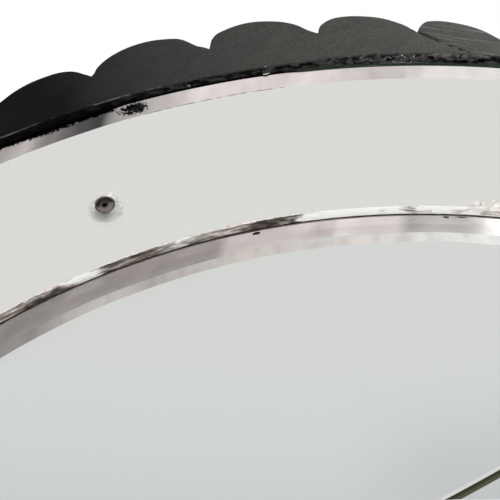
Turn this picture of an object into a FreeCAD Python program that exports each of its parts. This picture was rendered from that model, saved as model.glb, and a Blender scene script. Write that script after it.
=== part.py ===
import FreeCAD, Part
import math
import os
import re
import Sketcher

# Round wall mirror: a bevelled centre disc inside a bevelled border ring, on a plywood back,
# in a scalloped rim glued up from curved boards. It faces -Y, hangs with +Z up, and the wall is y = 0.

doc = FreeCAD.newDocument("round_mirror")

# Driving dimensions in millimetres
SIZES = (
    ("glass_radius", 403.0),
    ("glass_thickness", 6.0),
    ("bevel_edge", 1.3),
    ("border_width", 91.4),
    ("border_bevel", 14.4),
    ("border_edge", 2.0),
    ("disc_gap", 1.7),
    ("disc_bevel", 13.3),
    ("screw_inset", 32.1),
    ("packing_thickness", 1.0),
    ("packing_margin", 14.0),
    ("dab_radius", 22.0),
    ("dab_circle", 215.0),
    ("backboard_thickness", 9.0),
    ("backboard_clearance", 0.5),
    ("recess_depth", 9.0),
    ("rim_gap", 0.8),
    ("lip_width", 7.0),
    ("rim_band", 16.0),
    ("lobe_height", 16.0),
    ("lobe_fall", 0.8),
    ("scarf_run", 30.0),
    ("scarf_nose_run", 5.6),
    ("scarf_nose_depth", 4.4),
    ("scarf_gap", 0.8),
    ("mirror_screw_head_radius", 4.0),
    ("mirror_screw_head_height", 2.4),
    ("mirror_screw_shank_radius", 2.0),
    ("mirror_screw_bite", 8.0),
    ("mirror_screw_socket_radius", 1.3),
    ("mirror_screw_socket_depth", 3.0),
    ("washer_wall", 0.7),
    ("washer_fit", 0.15),
    ("washer_sink", 0.3),
    ("screw_fit", 0.1),
    ("rim_screw_head_radius", 2.8),
    ("rim_screw_head_height", 1.8),
    ("rim_screw_shank_radius", 1.5),
    ("rim_screw_bite", 5.0),
    ("batten_width", 60.0),
    ("batten_end_gap", 14.0),
    ("lap_fit", 0.1),
    ("batten_screw_head_radius", 3.6),
    ("batten_screw_head_height", 2.4),
    ("batten_screw_shank_radius", 1.8),
    ("batten_screw_bite", 6.5),
    ("batten_screw_sink", 0.3),
    ("hanger_spread", 220.0),
    ("hanger_rise", 190.0),
    ("plate_width", 27.0),
    ("plate_length", 17.0),
    ("plate_thickness", 1.2),
    ("plate_corner", 3.0),
    ("plate_screw_spread", 16.0),
    ("plate_screw_drop", 10.0),
    ("eye_length", 12.0),
    ("eye_wall", 1.2),
    ("eye_fit", 0.08),
    ("ring_wire_radius", 1.5),
    ("ring_half_width", 18.0),
    ("ring_corner", 4.0),
    ("ring_leg", 16.0),
    ("ring_rest_gap", 0.3),
    ("hanger_screw_head_radius", 2.8),
    ("hanger_screw_head_height", 1.7),
    ("hanger_screw_shank_radius", 1.5),
    ("hanger_screw_bite", 7.5),
    ("overrun", 5.0),
)
sheet = doc.addObject("Spreadsheet::Sheet", "sizes")
for row, (alias, number) in enumerate(SIZES, start=1):
    sheet.set("A%d" % row, alias)
    sheet.set("B%d" % row, str(number))
    sheet.setAlias("B%d" % row, alias)
doc.recompute()

# Counts, and angles in degrees, clockwise from the top as seen from the front
FULL_TURN = 360.0
BOARD_COUNT = 8
BOARD_ANGLE = FULL_TURN / BOARD_COUNT
JOINT_TURN = 2.33
MIRROR_SCREW_COUNT = 8
MIRROR_SCREW_TURN = 22.5
DAB_COUNT = 6

# Hand-cut lobes of one board, each drawn through points from cusp to cusp:
# the share of the way along the board, and the height as a part of the lobe height
LOBES = (
    ((0.0, 0.0), (0.006, 0.3), (0.013, 0.47), (0.027, 0.525), (0.059, 0.44), (0.095, 0.175), (0.128, -0.27)),
    ((0.128, -0.27), (0.145, 0.1), (0.175, 0.4), (0.21, 0.5), (0.25, 0.46), (0.285, 0.26), (0.314, -0.3)),
    ((0.314, -0.3), (0.34, 0.13), (0.369, 0.38), (0.391, 0.58), (0.411, 0.7), (0.446, 0.775), (0.467, 0.755),
     (0.484, 0.635), (0.494, 0.47), (0.504, 0.15)),
    ((0.504, 0.15), (0.51, 0.22), (0.519, 0.455), (0.534, 0.695), (0.561, 0.94), (0.599, 1.06), (0.628, 0.99),
     (0.651, 0.83), (0.661, 0.635), (0.671, 0.39), (0.68, 0.285), (0.6885, 0.14)),
    ((0.6885, 0.14), (0.697, 0.58), (0.704, 0.74), (0.718, 0.875), (0.743, 1.02), (0.757, 1.045),
     (0.784, 0.98), (0.807, 0.845), (0.824, 0.655), (0.841, 0.345), (0.849, 0.235), (0.854, 0.18)),
    ((0.854, 0.18), (0.859, 0.5), (0.866, 0.65), (0.879, 0.8), (0.897, 0.855), (0.926, 0.81), (0.95, 0.695),
     (0.973, 0.475), (0.99, 0.245), (1.0, 0.0)),
)
RIM_SCREW_SHARES = (0.3, 0.8)
BATTEN_SCREW_SHARES = (-0.85, -0.3, 0.3, 0.85)
LAP_SHARE = 0.5


def expand(text):
    """Writes a sum of size names as an expression on the sheet."""
    aliases = {alias for alias, number in SIZES}
    return re.sub("[a-z_]+", lambda word: "sizes." + word[0] if word[0] in aliases else word[0], text)


def value(text):
    """The number that a sum of size names comes to."""
    return float(sheet.evalExpression(expand(text)))


def bind(feature, **sums):
    """Binds properties of a feature to sums of size names."""
    for name, text in sums.items():
        feature.setExpression(name, expand(text))


# Derived places: radii from the mirror's axis, and depths in front of the wall
BORDER_INNER = "glass_radius - border_width"
DISC_RADIUS = "glass_radius - border_width - disc_gap"
SCREW_CIRCLE = "glass_radius - border_width + screw_inset"
RIM_INNER = "glass_radius + rim_gap"
REBATE_RADIUS = "glass_radius + rim_gap + lip_width"
RIM_SCREW_CIRCLE = "glass_radius + rim_gap + lip_width / 2"
CUSP_RADIUS = "glass_radius + rim_gap + rim_band"
BOARD_FRONT = "- recess_depth - backboard_thickness"
GLASS_BACK = BOARD_FRONT + " - packing_thickness"
GLASS_FRONT = GLASS_BACK + " - glass_thickness"
BEVEL_FOOT = GLASS_BACK + " - bevel_edge"
BORDER_FOOT = GLASS_BACK + " - border_edge"
DEPTH = "recess_depth + backboard_thickness + packing_thickness + glass_thickness"
WASHER_FRONT = GLASS_FRONT + " + washer_sink"
HEAD_FRONT = WASHER_FRONT + " + washer_sink"
BATTEN_REACH = "sqrt((" + REBATE_RADIUS + " - batten_end_gap)^2 - (batten_width / 2)^2)"
EYE_HEIGHT = "plate_thickness + ring_wire_radius + ring_rest_gap"
EYE_BORE = "ring_wire_radius + eye_fit"

FACING = FreeCAD.Vector(0, 1, 0)
ACROSS = FreeCAD.Vector(1, 0, 0)
SQUARE_TURN = 90.0


def turned(angle):
    """Placement that turns a piece clockwise, seen from the front, about the mirror's axis."""
    return FreeCAD.Placement(FreeCAD.Vector(), FreeCAD.Rotation(FACING, angle))


def on_circle(angle, radius, depth=0.0):
    """A point at a clock angle and radius."""
    turn = math.radians(angle)
    return FreeCAD.Vector(radius * math.sin(turn), depth, radius * math.cos(turn))


def origin_feature(body, role):
    return next(feature for feature in body.Origin.OriginFeatures if feature.Role == role)


def new_body(label):
    body = doc.addObject("PartDesign::Body", label)
    body.Label = label
    return body


def closed_sketch(body, name, role, corners):
    """Closed outline of straight lines whose corners are bound to sums of size names."""
    sketch = body.newObject("Sketcher::SketchObject", name)
    sketch.AttachmentSupport = [(origin_feature(body, role), "")]
    sketch.MapMode = "FlatFace"
    points = [FreeCAD.Vector(value(x), value(y), 0) for x, y in corners]
    following = points[1:] + points[:1]
    for start, end in zip(points, following):
        sketch.addGeometry(Part.LineSegment(start, end), False)
    for line in range(len(points)):
        sketch.addConstraint(Sketcher.Constraint("Coincident", line, 2, (line + 1) % len(points), 1))
    for line, corner in enumerate(corners):
        for kind, axis, text in zip(("DistanceX", "DistanceY"), (-2, -1), corner):
            if text == "0":
                sketch.addConstraint(Sketcher.Constraint("PointOnObject", line, 1, axis))
                continue
            index = sketch.addConstraint(Sketcher.Constraint(kind, line, 1, value(text)))
            sketch.setExpression("Constraints[%d]" % index, expand(text))
    return sketch


def turned_body(label, corners):
    """Round piece: a half section of radius and depth, turned about the mirror's axis."""
    body = new_body(label)
    sketch = closed_sketch(body, label + "_section", "XY_Plane", corners)
    revolution = body.newObject("PartDesign::Revolution", label + "_turned")
    revolution.Profile = sketch
    revolution.ReferenceAxis = (sketch, ["V_Axis"])
    revolution.Angle = FULL_TURN
    doc.recompute()
    return body


def padded_body(label, role, corners, thickness, reverse):
    """Flat piece: an outline drawn on an origin plane and padded by a thickness."""
    body = new_body(label)
    sketch = closed_sketch(body, label + "_outline", role, corners)
    pad = body.newObject("PartDesign::Pad", label + "_pad")
    pad.Profile = sketch
    pad.Reversed = reverse
    bind(pad, Length=thickness)
    doc.recompute()
    return body


def feature(label, shape, placement=None):
    """A shape of its own, placed after it is set."""
    piece = doc.addObject("Part::Feature", label)
    piece.Label = label
    piece.Shape = shape
    if placement is not None:
        piece.Placement = placement
    return piece


def cut(label, base, tool):
    piece = doc.addObject("Part::Cut", label)
    piece.Label = label
    piece.Base = base
    piece.Tool = tool
    doc.recompute()
    return piece


def group(label, shape, placements):
    """Copies of one solid as a group of separate solids."""
    copies = []
    for placement in placements:
        copy = shape.copy()
        copy.Placement = placement.multiply(copy.Placement)
        copies.append(copy)
    return feature(label, Part.makeCompound(copies))


def at(x, y, z):
    return FreeCAD.Placement(FreeCAD.Vector(x, y, z), FreeCAD.Rotation())


def circle_places(angles, radius):
    return [FreeCAD.Placement(on_circle(angle, radius), FreeCAD.Rotation(FACING, angle)) for angle in angles]


# Mirror screw: a countersunk head to the front, with a socket for a cap, and the void for its shank
throat = HEAD_FRONT + " + mirror_screw_head_height"
tip = BOARD_FRONT + " + mirror_screw_bite"
socket_floor = HEAD_FRONT + " + mirror_screw_socket_depth"
mirror_screw = turned_body("mirror_screw", (
    ("0", socket_floor),
    ("mirror_screw_socket_radius", socket_floor),
    ("mirror_screw_socket_radius", HEAD_FRONT),
    ("mirror_screw_head_radius", HEAD_FRONT),
    ("mirror_screw_shank_radius", throat),
    ("mirror_screw_shank_radius", tip),
    ("0", tip + " + mirror_screw_shank_radius"),
))
mirror_screw_void = turned_body("mirror_screw_void", (
    ("0", GLASS_FRONT + " - overrun"),
    ("mirror_screw_shank_radius + screw_fit", GLASS_FRONT + " - overrun"),
    ("mirror_screw_shank_radius + screw_fit", tip),
    ("0", tip + " + mirror_screw_shank_radius + screw_fit"),
))

# Fibre cup washer: a cone that follows the screw head, inside a matching countersink in the glass
washer_rim = "mirror_screw_head_radius + washer_wall"
washer_neck = "mirror_screw_shank_radius + washer_wall"
washer_section = (
    ("mirror_screw_head_radius + screw_fit", WASHER_FRONT),
    (washer_rim, WASHER_FRONT),
    (washer_rim, HEAD_FRONT),
    (washer_neck, throat),
    (washer_neck, BOARD_FRONT),
    ("mirror_screw_shank_radius + screw_fit", BOARD_FRONT),
    ("mirror_screw_shank_radius + screw_fit", throat),
    ("mirror_screw_head_radius + screw_fit", HEAD_FRONT),
)
washer = turned_body("washer", washer_section)
washer_void = turned_body("washer_void", (
    ("0", GLASS_FRONT + " - overrun"),
    (washer_rim + " + washer_fit", GLASS_FRONT + " - overrun"),
    (washer_rim + " + washer_fit", HEAD_FRONT),
    (washer_neck + " + washer_fit", throat),
    (washer_neck + " + washer_fit", BOARD_FRONT),
    ("0", BOARD_FRONT),
))

# Wood screws driven from the back, their heads towards the wall; y = 0 is under the head
def wood_screw(name, tip_depth, countersunk):
    """The screw and the void for its shank, as two bodies."""
    prefix = name + "_"
    radius = prefix + "shank_radius"
    head_height = prefix + "head_height"
    head_radius = prefix + "head_radius"
    point = tip_depth + " - " + radius
    if countersunk:
        head_corners = ((radius, "- " + head_height), (head_radius, "0"), ("0", "0"))
        void_corners = (
            (radius + " + screw_fit", "- " + head_height),
            (head_radius + " + screw_fit", "0"),
            (head_radius + " + screw_fit", "overrun"),
            ("0", "overrun"),
        )
    else:
        head_corners = ((radius, "0"), (head_radius, "0"), (head_radius, head_height + " / 2"),
                        (radius, head_height), ("0", head_height))
        void_corners = ((radius + " + screw_fit", "overrun"), ("0", "overrun"))
    screw = turned_body(name, (("0", point), (radius, tip_depth)) + head_corners)
    void = turned_body(prefix + "void", (
        ("0", point + " - screw_fit"),
        (radius + " + screw_fit", tip_depth),
    ) + void_corners)
    return screw, void


rim_screw, rim_screw_void = wood_screw("rim_screw", "- backboard_thickness - rim_screw_bite", False)
batten_screw, batten_screw_void = wood_screw(
    "batten_screw", "- recess_depth - batten_screw_bite", True)
hanger_screw, hanger_screw_void = wood_screw(
    "hanger_screw", "- plate_thickness - hanger_screw_bite", False)

# Where the fasteners go
mirror_screw_places = circle_places(
    [MIRROR_SCREW_TURN + FULL_TURN * step / MIRROR_SCREW_COUNT for step in range(MIRROR_SCREW_COUNT)],
    value(SCREW_CIRCLE))
board_turns = [JOINT_TURN + BOARD_ANGLE * step for step in range(BOARD_COUNT)]
back_of_backboard = at(0, value("- recess_depth"), 0)


def rim_screw_places(start):
    angles = [start + BOARD_ANGLE * share for share in RIM_SCREW_SHARES]
    return [back_of_backboard.multiply(place) for place in circle_places(angles, value(RIM_SCREW_CIRCLE))]


all_rim_screw_places = [place for start in board_turns for place in rim_screw_places(start)]
screw_reaches = [share * value(BATTEN_REACH) for share in BATTEN_SCREW_SHARES]
head_depth = value("- batten_screw_sink")
cross_screw_places = [at(reach, head_depth, 0) for reach in screw_reaches]
upright_screw_places = [at(0, head_depth, reach) for reach in screw_reaches]
batten_screw_places = cross_screw_places + upright_screw_places
SIDES = (("left", -1), ("right", 1))
hanger_places = {
    side: at(sign * value("hanger_spread"), value("- recess_depth"), value("hanger_rise"))
    for side, sign in SIDES
}


def plate_screw_places(side):
    spots = [at(sign * value("plate_screw_spread / 2"), value("plate_thickness"), value("- plate_screw_drop"))
             for name, sign in SIDES]
    return [hanger_places[side].multiply(spot) for spot in spots]


all_hanger_screw_places = [place for side, sign in SIDES for place in plate_screw_places(side)]

# Frame board: the outline of one board, each lobe a smooth curve from cusp to cusp
def along_rim(angle, radius, run):
    """A point on a radius, a run clockwise of an angle."""
    return on_circle(angle + math.degrees(run / radius), radius)


def scarf_points(angle):
    """The hooked scarf from the cusp to the inner edge."""
    cusp_radius = value(CUSP_RADIUS)
    nose_radius = cusp_radius - value("scarf_nose_depth")
    return (
        on_circle(angle, cusp_radius),
        along_rim(angle, nose_radius, value("scarf_nose_run")),
        along_rim(angle, value(RIM_INNER), value("scarf_run")),
    )


def board_outline():
    cusp_radius = value(CUSP_RADIUS)
    lobe_height = value("lobe_height")
    gap_angle = math.degrees(value("scarf_gap") / cusp_radius)
    span = BOARD_ANGLE - gap_angle
    first = scarf_points(0.0)
    last = scarf_points(span)
    edges = []
    for lobe in LOBES:
        points = [on_circle(share * span, cusp_radius + height * lobe_height) for share, height in lobe]
        curve = Part.BSplineCurve()
        curve.interpolate(points)
        edges.append(curve.toShape())
    edges.append(Part.makeLine(last[0], last[1]))
    edges.append(Part.makeLine(last[1], last[2]))
    inner_turn = math.degrees(value("scarf_run") / value(RIM_INNER))
    inner_middle = on_circle(span / 2 + inner_turn, value(RIM_INNER))
    edges.append(Part.Arc(last[2], inner_middle, first[2]).toShape())
    edges.append(Part.makeLine(first[2], first[1]))
    edges.append(Part.makeLine(first[1], first[0]))
    return Part.Face(Part.Wire(Part.__sortEdges__(edges)))


outline = feature("board_outline", board_outline())
board_blank = doc.addObject("Part::Extrusion", "board_blank")
board_blank.Base = outline
board_blank.DirMode = "Custom"
board_blank.Dir = FACING.negative()
board_blank.Solid = True
bind(board_blank, LengthFwd=DEPTH)
rebate = doc.addObject("Part::Cylinder", "rebate")
bind(rebate, Radius=REBATE_RADIUS, Height="recess_depth + backboard_thickness + overrun")
rebate.Placement = FreeCAD.Placement(
    FreeCAD.Vector(0, value(BOARD_FRONT), 0), FreeCAD.Rotation(ACROSS, -SQUARE_TURN))
lobe_reach = CUSP_RADIUS + " + lobe_height + overrun"
lobe_slope = turned_body("lobe_slope", (
    (CUSP_RADIUS, GLASS_FRONT),
    (CUSP_RADIUS, GLASS_FRONT + " - overrun"),
    (lobe_reach, GLASS_FRONT + " - overrun"),
    (lobe_reach, GLASS_FRONT + " + lobe_fall * (lobe_height + overrun) / lobe_height"),
))
rebated_board = cut("rebated_board", board_blank, rebate)
sloped_board = cut("sloped_board", rebated_board, lobe_slope)
board_void = group("board_void", rim_screw_void.Shape, rim_screw_places(0.0))
drilled_board = cut("drilled_board", sloped_board, board_void)

nodes = []
for number, start in enumerate(board_turns, start=1):
    nodes.append(feature("frame_board_%d" % number, drilled_board.Shape.copy(), turned(start)))

# Backboard: a plywood disc in the rebate, drilled for every screw that enters it
backboard_blank = turned_body("backboard_blank", (
    ("0", BOARD_FRONT),
    (REBATE_RADIUS + " - backboard_clearance", BOARD_FRONT),
    (REBATE_RADIUS + " - backboard_clearance", "- recess_depth"),
    ("0", "- recess_depth"),
))
mirror_screw_voids = group("mirror_screw_voids", mirror_screw_void.Shape, mirror_screw_places)
backboard_voids = Part.makeCompound([
    mirror_screw_voids.Shape,
    group("rim_screw_voids", rim_screw_void.Shape, all_rim_screw_places).Shape,
    group("batten_screw_voids", batten_screw_void.Shape, batten_screw_places).Shape,
    group("hanger_screw_voids", hanger_screw_void.Shape, all_hanger_screw_places).Shape,
])
nodes.append(cut("backboard", backboard_blank, feature("backboard_voids", backboard_voids)))

# Border mirror: bevelled on its outer edge, countersunk for the washers
border_blank = turned_body("border_blank", (
    (BORDER_INNER, GLASS_FRONT),
    ("glass_radius - border_bevel", GLASS_FRONT),
    ("glass_radius", BORDER_FOOT),
    ("glass_radius", GLASS_BACK),
    (BORDER_INNER, GLASS_BACK),
))
washer_voids = group("washer_voids", washer_void.Shape, mirror_screw_places)
nodes.append(cut("border_mirror", border_blank, washer_voids))

# Centre mirror: a disc with a wide bevel
nodes.append(turned_body("centre_mirror", (
    ("0", GLASS_FRONT),
    (DISC_RADIUS + " - disc_bevel", GLASS_FRONT),
    (DISC_RADIUS, BEVEL_FOOT),
    (DISC_RADIUS, GLASS_BACK),
    ("0", GLASS_BACK),
)))

# Felt ring behind the border glass, and dabs of mastic behind the disc
packing_blank = turned_body("packing_blank", (
    (BORDER_INNER + " + packing_margin", GLASS_BACK),
    ("glass_radius - packing_margin", GLASS_BACK),
    ("glass_radius - packing_margin", BOARD_FRONT),
    (BORDER_INNER + " + packing_margin", BOARD_FRONT),
))
nodes.append(cut("border_packing", packing_blank, washer_voids))
dab = turned_body("dab", (
    ("0", GLASS_BACK),
    ("dab_radius", GLASS_BACK),
    ("dab_radius", BOARD_FRONT),
    ("0", BOARD_FRONT),
))
dab_angles = [FULL_TURN * step / DAB_COUNT for step in range(DAB_COUNT)]
nodes.append(group("mastic_dabs", dab.Shape, [at(0, 0, 0)] + circle_places(dab_angles, value("dab_circle"))))

# Fasteners as groups
nodes.append(group("border_screws", mirror_screw.Shape, mirror_screw_places))
nodes.append(group("border_washers", washer.Shape, mirror_screw_places))
nodes.append(group("rim_screws", rim_screw.Shape, all_rim_screw_places))
nodes.append(group("batten_screws", batten_screw.Shape, batten_screw_places))
nodes.append(group("hanger_screws", hanger_screw.Shape, all_hanger_screw_places))

# Battens: two strips half-lapped where they cross, flush with the rim's back
def batten(label, half_x, half_z, notch_x, notch_z, notch_near, notch_far, places):
    """A strip on the backboard with a lap notch and its screw holes."""
    strip = padded_body(label + "_strip", "XZ_Plane", (
        ("-(" + half_x + ")", "-(" + half_z + ")"),
        (half_x, "-(" + half_z + ")"),
        (half_x, half_z),
        ("-(" + half_x + ")", half_z),
    ), "recess_depth", False)
    notch = doc.addObject("Part::Box", label + "_notch")
    bind(notch, Length="2 * (" + notch_x + ")", Width=notch_near + " - (" + notch_far + ")",
         Height="2 * (" + notch_z + ")")
    notch.Placement = at(-value(notch_x), value(notch_far), -value(notch_z))
    lapped = cut(label + "_lapped", strip, notch)
    return cut(label, lapped, group(label + "_voids", batten_screw_void.Shape, places))


half_width = "batten_width / 2"
notch_width = "batten_width / 2 + lap_fit"
lap_plane = "- recess_depth * %s" % LAP_SHARE
nodes.append(batten("cross_batten", BATTEN_REACH, half_width, notch_width, notch_width,
                    lap_plane, "- recess_depth - overrun", cross_screw_places))
nodes.append(batten("upright_batten", half_width, BATTEN_REACH, notch_width, notch_width,
                    "overrun", lap_plane, upright_screw_places))

# Hanging plates: a plate with rounded corners and a rolled eye along its top edge
def hanger_plate(side):
    label = "hanger_plate_" + side
    half = "plate_width / 2"
    plate = padded_body(label + "_plate", "XZ_Plane", (
        ("- " + half, "- plate_length"),
        (half, "- plate_length"),
        (half, "0"),
        ("- " + half, "0"),
    ), "plate_thickness", True)
    upright = [edge for edge in plate.Shape.Edges if edge.BoundBox.YLength > 0]
    corners = [edge for edge in upright if edge.BoundBox.XLength + edge.BoundBox.ZLength < edge.Length]
    rounded = feature(label + "_rounded", plate.Shape.makeFillet(value("plate_corner"), corners))
    eye = doc.addObject("Part::Cylinder", label + "_eye")
    bind(eye, Radius=EYE_BORE + " + eye_wall", Height="eye_length")
    bore = doc.addObject("Part::Cylinder", label + "_bore")
    bind(bore, Radius=EYE_BORE, Height="plate_width + 2 * overrun")
    along = FreeCAD.Rotation(FACING, SQUARE_TURN)
    eye.Placement = FreeCAD.Placement(
        FreeCAD.Vector(-value("eye_length / 2"), value(EYE_HEIGHT), 0), along)
    bore.Placement = FreeCAD.Placement(
        FreeCAD.Vector(-value("plate_width / 2 + overrun"), value(EYE_HEIGHT), 0), along)
    joined = doc.addObject("Part::Fuse", label + "_joined")
    joined.Base = rounded
    joined.Tool = eye
    doc.recompute()
    bored = cut(label + "_bored", joined, bore)
    placed = feature(label + "_placed", bored.Shape.copy(), hanger_places[side])
    return cut(label, placed, group(label + "_voids", hanger_screw_void.Shape, plate_screw_places(side)))


# Hanging rings: a bar through the eye, two legs and a half-round bottom, of one closed wire
def ring_path():
    half = value("ring_half_width")
    corner = value("ring_corner")
    leg = value("ring_leg")
    diagonal = corner * math.sqrt(2) / 2
    top_right = FreeCAD.Vector(half - corner, 0, 0)
    right = FreeCAD.Vector(half, 0, -corner)
    right_middle = FreeCAD.Vector(half - corner + diagonal, 0, -corner + diagonal)
    low_right = FreeCAD.Vector(half, 0, -leg)
    bottom = FreeCAD.Vector(0, 0, -leg - half)

    def flipped(point):
        return FreeCAD.Vector(-point.x, point.y, point.z)

    return Part.Wire([
        Part.makeLine(FreeCAD.Vector(), top_right),
        Part.Arc(top_right, right_middle, right).toShape(),
        Part.makeLine(right, low_right),
        Part.Arc(low_right, bottom, flipped(low_right)).toShape(),
        Part.makeLine(flipped(low_right), flipped(right)),
        Part.Arc(flipped(right), flipped(right_middle), flipped(top_right)).toShape(),
        Part.makeLine(flipped(top_right), FreeCAD.Vector()),
    ])


wire_section = Part.Wire(Part.makeCircle(value("ring_wire_radius"), FreeCAD.Vector(), ACROSS))
ring_shape = ring_path().makePipeShell([wire_section], True, False)
eye_centre = at(0, value(EYE_HEIGHT), 0)
for side, sign in SIDES:
    nodes.append(hanger_plate(side))
    nodes.append(feature("hanger_ring_" + side, ring_shape.copy(), hanger_places[side].multiply(eye_centre)))

# Every object and shape is sound before anything is written
doc.recompute()
for item in doc.Objects:
    broken = [state for state in item.State if state in ("Invalid", "Error")]
    if broken:
        raise RuntimeError("%s is %s" % (item.Label, broken))
os.makedirs("parts", exist_ok=True)
for node in nodes:
    if node.Shape.isNull() or not node.Shape.isValid() or not node.Shape.Solids:
        raise RuntimeError("%s has no sound shape" % node.Label)
for node in nodes:
    node.Shape.exportStep("parts/%s.step" % node.Label)
    print("%s: %d solids, %.0f mm3" % (node.Label, len(node.Shape.Solids), node.Shape.Volume))
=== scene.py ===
import bpy
import math
from mathutils import Matrix, Vector, noise
from mathutils.geometry import interpolate_bezier


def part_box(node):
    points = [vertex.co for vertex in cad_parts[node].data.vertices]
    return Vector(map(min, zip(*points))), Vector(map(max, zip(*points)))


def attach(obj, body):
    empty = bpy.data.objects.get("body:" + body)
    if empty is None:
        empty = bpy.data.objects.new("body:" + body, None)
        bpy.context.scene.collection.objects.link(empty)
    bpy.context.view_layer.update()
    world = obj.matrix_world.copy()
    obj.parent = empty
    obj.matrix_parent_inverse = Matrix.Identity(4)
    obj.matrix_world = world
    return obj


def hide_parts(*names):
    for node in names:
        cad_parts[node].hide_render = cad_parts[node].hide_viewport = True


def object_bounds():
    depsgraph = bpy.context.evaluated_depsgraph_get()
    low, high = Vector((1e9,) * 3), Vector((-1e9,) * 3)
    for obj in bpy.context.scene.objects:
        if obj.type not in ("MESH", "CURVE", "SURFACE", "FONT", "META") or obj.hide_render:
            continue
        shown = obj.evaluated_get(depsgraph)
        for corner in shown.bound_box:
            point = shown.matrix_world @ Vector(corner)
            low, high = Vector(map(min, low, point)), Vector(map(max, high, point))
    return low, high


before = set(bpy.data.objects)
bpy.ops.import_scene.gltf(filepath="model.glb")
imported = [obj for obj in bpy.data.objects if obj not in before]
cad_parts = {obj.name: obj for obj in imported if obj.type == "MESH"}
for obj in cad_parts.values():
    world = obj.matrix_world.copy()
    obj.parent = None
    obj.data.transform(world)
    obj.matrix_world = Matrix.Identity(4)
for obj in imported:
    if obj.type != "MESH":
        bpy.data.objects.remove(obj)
cad_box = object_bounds()

# Round wall mirror in a scalloped black rim. Metres; it faces -Y, +Z is up and the wall is y = 0.
MM = 0.001

# Sizes of the glass and rim, read from the frame where a box gives them
glass_low, glass_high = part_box("border_mirror")
disc_low, disc_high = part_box("centre_mirror")
board_low, board_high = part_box("backboard")
GLASS_RADIUS = glass_high.x
GLASS_FRONT = glass_low.y
SILVER_LIFT = 0.05 * MM
GLASS_BACK = glass_high.y - SILVER_LIFT
DISC_RADIUS = disc_high.x
DISC_GAP = 1.7 * MM
BORDER_INNER = DISC_RADIUS + DISC_GAP
DISC_EDGE = 1.3 * MM
DISC_BEVEL = 13.3 * MM
BORDER_EDGE = 2.0 * MM
BORDER_BEVEL = 14.4 * MM
SCREW_CIRCLE = BORDER_INNER + 32.1 * MM
SCREW_COUNT = 8
SCREW_TURN = 22.5
WASHER_RIM = 4.85 * MM
WASHER_NECK = 2.85 * MM
RIM_INNER = GLASS_RADIUS + 0.8 * MM
REBATE_RADIUS = RIM_INNER + 7.0 * MM
REBATE_FRONT = board_low.y
CUSP_RADIUS = RIM_INNER + 16.0 * MM
LOBE_HEIGHT = 15.93 * MM
LOBE_FALL = 0.8 * MM
SCARF_RUN = 30.0 * MM
SCARF_NOSE_RUN = 5.6 * MM
SCARF_NOSE_DEPTH = 4.4 * MM
SCARF_GAP = 0.8 * MM
BOARD_COUNT = 8
FULL_TURN = 360.0
BOARD_ANGLE = FULL_TURN / BOARD_COUNT
JOINT_TURN = 2.33
GRAIN_TURN = 12.3

# Lobes of one board, drawn through points from cusp to cusp: share of the way along, share of the lobe height
LOBE_SHARES = (
    ((0.0, 0.0), (0.006, 0.3), (0.013, 0.47), (0.027, 0.525), (0.059, 0.44), (0.095, 0.175), (0.128, -0.27)),
    ((0.128, -0.27), (0.145, 0.1), (0.175, 0.4), (0.21, 0.5), (0.25, 0.46), (0.285, 0.26), (0.314, -0.3)),
    ((0.314, -0.3), (0.34, 0.13), (0.369, 0.38), (0.391, 0.58), (0.411, 0.7), (0.446, 0.775), (0.467, 0.755),
     (0.484, 0.635), (0.494, 0.47), (0.504, 0.15)),
    ((0.504, 0.15), (0.51, 0.22), (0.519, 0.455), (0.534, 0.695), (0.561, 0.94), (0.599, 1.06), (0.628, 0.99),
     (0.651, 0.83), (0.661, 0.635), (0.671, 0.39), (0.68, 0.285), (0.6885, 0.14)),
    ((0.6885, 0.14), (0.697, 0.58), (0.704, 0.74), (0.718, 0.875), (0.743, 1.02), (0.757, 1.045),
     (0.784, 0.98), (0.807, 0.845), (0.824, 0.655), (0.841, 0.345), (0.849, 0.235), (0.854, 0.18)),
    ((0.854, 0.18), (0.859, 0.5), (0.866, 0.65), (0.879, 0.8), (0.897, 0.855), (0.926, 0.81), (0.95, 0.695),
     (0.973, 0.475), (0.99, 0.245), (1.0, 0.0)),
)


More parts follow.
